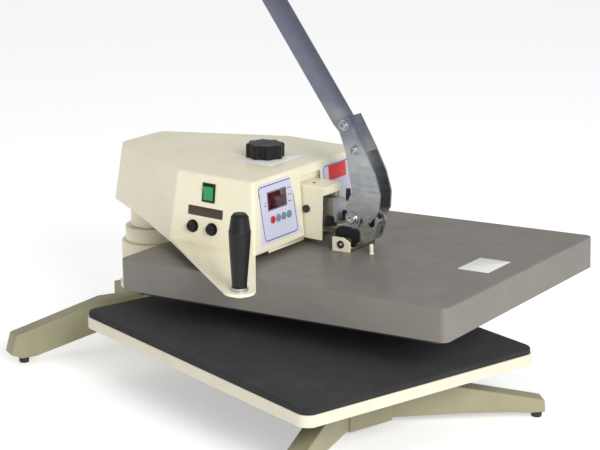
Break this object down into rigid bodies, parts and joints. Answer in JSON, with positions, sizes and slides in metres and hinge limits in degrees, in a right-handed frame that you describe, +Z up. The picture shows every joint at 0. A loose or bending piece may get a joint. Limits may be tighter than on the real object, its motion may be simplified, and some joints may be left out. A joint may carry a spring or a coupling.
{
  "type": "dry mounting press",
  "caption": "Swing-away heated dry mounting press: tilting grey platen under a cream control head, toggle lever, pressure knob, padded tray on a cast stand",
  "frame": {"origin": "centre of the lower pad's top face, the working surface", "axes": "+Z up, +X to the operator's right, -Y to the operator; the head is drawn swung 17 degrees to the right about its post"},
  "size_m": [0.8078, 0.913, 0.8286],
  "materials": {
    "cream_paint": "satin enamel",
    "leg_paint": "satin enamel on casting",
    "grey_paint": "fine textured heat-proof paint",
    "tray_paint": "satin enamel",
    "zinc": "bright zinc plate",
    "steel": "bare turned steel",
    "brass": "turned brass",
    "aluminium": "milled",
    "black_plastic": "moulded, slightly worn",
    "black_rubber": "moulded rubber",
    "panel_film": "printed film, bare",
    "display_glass": "dark red window",
    "red_plastic": "moulded",
    "key_plastic": "moulded",
    "green_plastic": "translucent moulding",
    "pad_sponge": "dark felt over sponge",
    "insulation": "mineral fibre",
    "circuit_board": "coated laminate"
  },
  "bodies": {
    "stand": {"base_spine": "leg_paint", "front_leg_left": "leg_paint", "front_leg_right": "leg_paint", "rear_leg_left": "leg_paint", "rear_leg_right": "leg_paint", "rubber_feet": "black_rubber", "column": "cream_paint", "swing_collar": "cream_paint", "swing_post": "steel", "post_fittings": "steel", "lower_tray": "tray_paint", "tray_support": "black_plastic", "lower_pad": "pad_sponge"},
    "head": {"chassis_plate": "cream_paint", "swing_wing": "cream_paint", "swing_grip": "black_plastic", "grip_bolt": "steel", "head_sleeve": "cream_paint", "post_bushes": "brass", "arm_ribs": "cream_paint", "beam_pivot_pin": "steel", "screw_bearing": "steel", "housing_cover": "cream_paint", "control_panel": "panel_film", "display_window": "display_glass", "rocker_bezel": "black_plastic", "fuse_holders": "black_plastic", "controller_board": "circuit_board", "power_inlet": "black_plastic"},
    "beam": {"pressure_beam": "cream_paint", "pressure_nut": "brass", "beam_end_bracket": "cream_paint", "tongue": "zinc", "tongue_bolts": "steel", "main_pivot": "steel", "closing_switch": "black_plastic"},
    "knob": {"pressure_screw": "steel", "pressure_knob": "black_plastic"},
    "lever": {"lever_yoke": "zinc", "lever_bar": "zinc", "lever_screws": "steel", "lever_grip": "black_plastic", "crank_pin": "steel"},
    "link": {"toggle_link": "zinc"},
    "carriage": {"platen_axle": "steel", "push_block": "steel"},
    "platen": {"platen_cover": "grey_paint", "pivot_saddle": "cream_paint", "insulation_blanket": "insulation", "heating_element": "steel", "heat_platen": "aluminium", "thermostat_probe": "steel"},
    "rocker": {"power_rocker": "green_plastic"},
    "red_key_body": {"red_key": "red_plastic"},
    "left_key_body": {"left_key": "key_plastic"},
    "middle_key_body": {"middle_key": "key_plastic"},
    "right_key_body": {"right_key": "key_plastic"},
    "fuse_front": {"fuse_cap_front": "black_plastic"},
    "fuse_rear": {"fuse_cap_rear": "black_plastic"}
  },
  "joints": [
    {"name": "head_swing", "type": "hinge", "parent": "stand", "child": "head", "pos_m": [0, 0.4767, 0.1], "axis": [0, 0, 1], "range_deg": [-17.15, 70]},
    {"name": "beam_tilt", "type": "hinge", "parent": "head", "child": "beam", "pos_m": [0.02262, 0.40341, 0.2], "axis": [-0.9555, -0.2949, 0], "range_deg": [0, 0.9]},
    {"name": "knob_turn", "type": "hinge", "parent": "head", "child": "knob", "pos_m": [0.07982, 0.21804, 0.26], "axis": [0, 0, 1], "range_deg": [0, 560]},
    {"name": "lever_pull", "type": "hinge", "parent": "beam", "child": "lever", "pos_m": [0.14057, 0.0212, 0.176], "axis": [0.9555, 0.2949, 0], "range_deg": [0, 110]},
    {"name": "push_slide", "type": "slide", "parent": "beam", "child": "carriage", "axis": [0, 0, -1], "range_m": [0, 0.0522]},
    {"name": "link_swing", "type": "hinge", "parent": "carriage", "child": "link", "pos_m": [0.13762, 0.03075, 0.132], "axis": [0.9555, 0.2949, 0], "range_deg": [-32.1, 0]},
    {"name": "platen_level", "type": "hinge", "parent": "carriage", "child": "platen", "pos_m": [0.13762, 0.03075, 0.132], "axis": [0.9555, 0.2949, 0], "range_deg": [0, 2.79]},
    {"name": "power_switch", "type": "hinge", "parent": "head", "child": "rocker", "pos_m": [-0.08489, 0.16145, 0.22499], "axis": [-0.2949, 0.9555, 0], "range_deg": [0, 16]},
    {"name": "red_key_press", "type": "slide", "parent": "head", "child": "red_key_body", "axis": [-0.2933, 0.9503, -0.1043], "range_m": [0, 0.0008], "stiffness_N_per_m": 1000},
    {"name": "left_key_press", "type": "slide", "parent": "head", "child": "left_key_body", "axis": [-0.2933, 0.9503, -0.1043], "range_m": [0, 0.0008], "stiffness_N_per_m": 1000},
    {"name": "middle_key_press", "type": "slide", "parent": "head", "child": "middle_key_body", "axis": [-0.2933, 0.9503, -0.1043], "range_m": [0, 0.0008], "stiffness_N_per_m": 1000},
    {"name": "right_key_press", "type": "slide", "parent": "head", "child": "right_key_body", "axis": [-0.2933, 0.9503, -0.1043], "range_m": [0, 0.0008], "stiffness_N_per_m": 1000},
    {"name": "fuse_cap_front_turn", "type": "hinge", "parent": "head", "child": "fuse_front", "pos_m": [-0.09514, 0.14677, 0.16206], "axis": [-0.9511, -0.2935, 0.0963], "range_deg": [0, 90]},
    {"name": "fuse_cap_rear_turn", "type": "hinge", "parent": "head", "child": "fuse_rear", "pos_m": [-0.10753, 0.18691, 0.16206], "axis": [-0.9511, -0.2935, 0.0963], "range_deg": [0, 90]}
  ],
  "couplings": [
    {"joint": "knob_turn", "follows": "beam_tilt", "ratio": 609},
    {"joint": "push_slide", "follows": "lever_pull", "m_per_rad": 0.027163},
    {"joint": "link_swing", "follows": "lever_pull", "ratio": -0.29135},
    {"joint": "platen_level", "follows": "lever_pull", "ratio": 0.025273}
  ]
}
